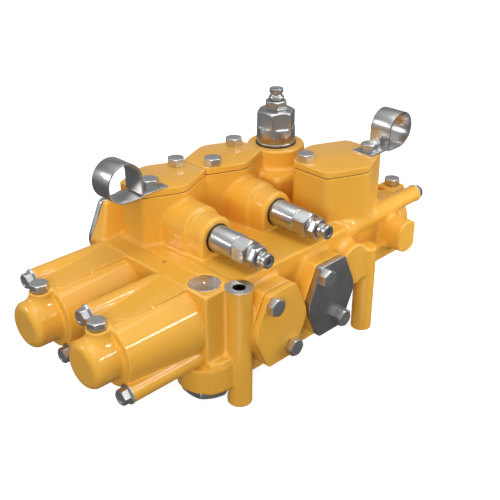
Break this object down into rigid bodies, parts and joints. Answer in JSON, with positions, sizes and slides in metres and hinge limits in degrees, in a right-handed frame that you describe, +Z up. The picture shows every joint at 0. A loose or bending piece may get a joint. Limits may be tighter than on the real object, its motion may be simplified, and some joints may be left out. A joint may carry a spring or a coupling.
{
  "type": "transmission control valve",
  "caption": "Hydraulic transmission control valve: cast body with sliding spools, spring caps, bolted port covers, relief cartridges and hose clips.",
  "frame": {"origin": "centre of the four mounting posts' hole pattern, at the feet", "axes": "+X along the spools, from the spring caps to the end covers; +Z up; -Y towards the side covers"},
  "size_m": [0.5338, 0.2626, 0.2876],
  "materials": {
    "casting_paint": "gloss yellow-orange enamel on sand-cast iron",
    "plated_hardware": "zinc-plated hex heads",
    "cartridge_steel": "bright turned and milled steel",
    "dark_steel": "dark oiled steel",
    "seal_rubber": "black nitrile rubber",
    "gasket_sheet": "dark fibre gasket sheet",
    "ground_steel": "ground and lapped",
    "spring_steel": "oil-tempered wire",
    "clip_steel": "bright rolled strip with fine lengthwise streaks",
    "turned_steel": "face-turned disc"
  },
  "bodies": {
    "housing": {"valve_body": "casting_paint", "front_spool_cap": "casting_paint", "rear_spool_cap": "casting_paint", "front_end_cover": "casting_paint", "rear_end_cover": "casting_paint", "left_top_cover": "casting_paint", "middle_top_cover": "casting_paint", "right_top_cover": "casting_paint", "side_cover": "casting_paint", "cap_bolts": "plated_hardware", "end_cover_bolts": "plated_hardware", "cap_plugs": "plated_hardware", "end_cover_plugs": "plated_hardware", "top_cover_bolts": "plated_hardware", "side_bolts": "plated_hardware", "rear_bolts": "plated_hardware", "left_relief_body": "cartridge_steel", "right_relief_body": "cartridge_steel", "main_relief_body": "cartridge_steel", "side_plate": "dark_steel", "rear_plate": "dark_steel", "bottom_plug": "dark_steel", "cap_seals": "seal_rubber", "end_cover_seals": "seal_rubber", "plug_seals": "seal_rubber", "bottom_plug_seal": "seal_rubber", "relief_seals": "seal_rubber", "top_cover_gaskets": "gasket_sheet", "side_gaskets": "gasket_sheet", "rear_gasket": "gasket_sheet", "check_spring": "spring_steel", "front_cap_spring": "spring_steel", "rear_cap_spring": "spring_steel", "front_end_spring": "spring_steel", "rear_end_spring": "spring_steel", "left_relief_spring": "spring_steel", "right_relief_spring": "spring_steel", "main_relief_spring": "spring_steel", "left_hose_clip": "clip_steel", "right_hose_clip": "clip_steel", "deck_plug": "turned_steel"},
    "front_spool_set": {"front_spool": "ground_steel", "front_spring_cup": "ground_steel", "front_cup_bolt": "plated_hardware"},
    "rear_spool_set": {"rear_spool": "ground_steel", "rear_spring_cup": "ground_steel", "rear_cup_bolt": "plated_hardware"},
    "check_poppet": {"check_poppet": "ground_steel"},
    "left_poppet": {"left_relief_poppet": "ground_steel"},
    "left_screw": {"left_relief_screw": "cartridge_steel"},
    "left_locknut": {"left_relief_locknut": "cartridge_steel"},
    "right_poppet": {"right_relief_poppet": "ground_steel"},
    "right_screw": {"right_relief_screw": "cartridge_steel"},
    "right_locknut": {"right_relief_locknut": "cartridge_steel"},
    "main_poppet": {"main_relief_poppet": "ground_steel"},
    "main_screw": {"main_relief_screw": "cartridge_steel"},
    "main_locknut": {"main_relief_locknut": "cartridge_steel"}
  },
  "joints": [
    {"name": "front_spool_slide", "type": "slide", "parent": "housing", "child": "front_spool_set", "axis": [1, 0, 0], "range_m": [-0.009, 0.009], "stiffness_N_per_m": 9000, "deforming": ["front_cap_spring", "front_end_spring"]},
    {"name": "rear_spool_slide", "type": "slide", "parent": "housing", "child": "rear_spool_set", "axis": [1, 0, 0], "range_m": [-0.009, 0.009], "stiffness_N_per_m": 9000, "deforming": ["rear_cap_spring", "rear_end_spring"]},
    {"name": "check_lift", "type": "slide", "parent": "housing", "child": "check_poppet", "axis": [0, 0, -1], "range_m": [0, 0.0035], "stiffness_N_per_m": 1500, "springref_m": -0.002, "deforming": ["check_spring"]},
    {"name": "left_poppet_lift", "type": "slide", "parent": "housing", "child": "left_poppet", "axis": [0, -1, 0], "range_m": [0, 0.002], "stiffness_N_per_m": 12000, "springref_m": -0.002, "deforming": ["left_relief_spring"]},
    {"name": "left_screw_turn", "type": "hinge", "parent": "housing", "child": "left_screw", "pos_m": [-0.0756, -0.09, 0.1705], "axis": [0, -1, 0], "range_deg": [-360, 360]},
    {"name": "left_locknut_turn", "type": "hinge", "parent": "housing", "child": "left_locknut", "pos_m": [-0.0756, -0.089, 0.1705], "axis": [0, -1, 0], "range_deg": [-360, 360]},
    {"name": "right_poppet_lift", "type": "slide", "parent": "housing", "child": "right_poppet", "axis": [0, -1, 0], "range_m": [0, 0.002], "stiffness_N_per_m": 12000, "springref_m": -0.002, "deforming": ["right_relief_spring"]},
    {"name": "right_screw_turn", "type": "hinge", "parent": "housing", "child": "right_screw", "pos_m": [0.023, -0.09, 0.1705], "axis": [0, -1, 0], "range_deg": [-360, 360]},
    {"name": "right_locknut_turn", "type": "hinge", "parent": "housing", "child": "right_locknut", "pos_m": [0.023, -0.089, 0.1705], "axis": [0, -1, 0], "range_deg": [-360, 360]},
    {"name": "main_poppet_lift", "type": "slide", "parent": "housing", "child": "main_poppet", "axis": [0, 0, 1], "range_m": [0, 0.003], "stiffness_N_per_m": 12000, "springref_m": -0.003, "deforming": ["main_relief_spring"]},
    {"name": "main_screw_turn", "type": "hinge", "parent": "housing", "child": "main_screw", "pos_m": [0.109, 0.06, 0.265], "axis": [0, 0, 1], "range_deg": [-360, 360]},
    {"name": "main_locknut_turn", "type": "hinge", "parent": "housing", "child": "main_locknut", "pos_m": [0.109, 0.06, 0.266], "axis": [0, 0, 1], "range_deg": [-360, 360]}
  ]
}
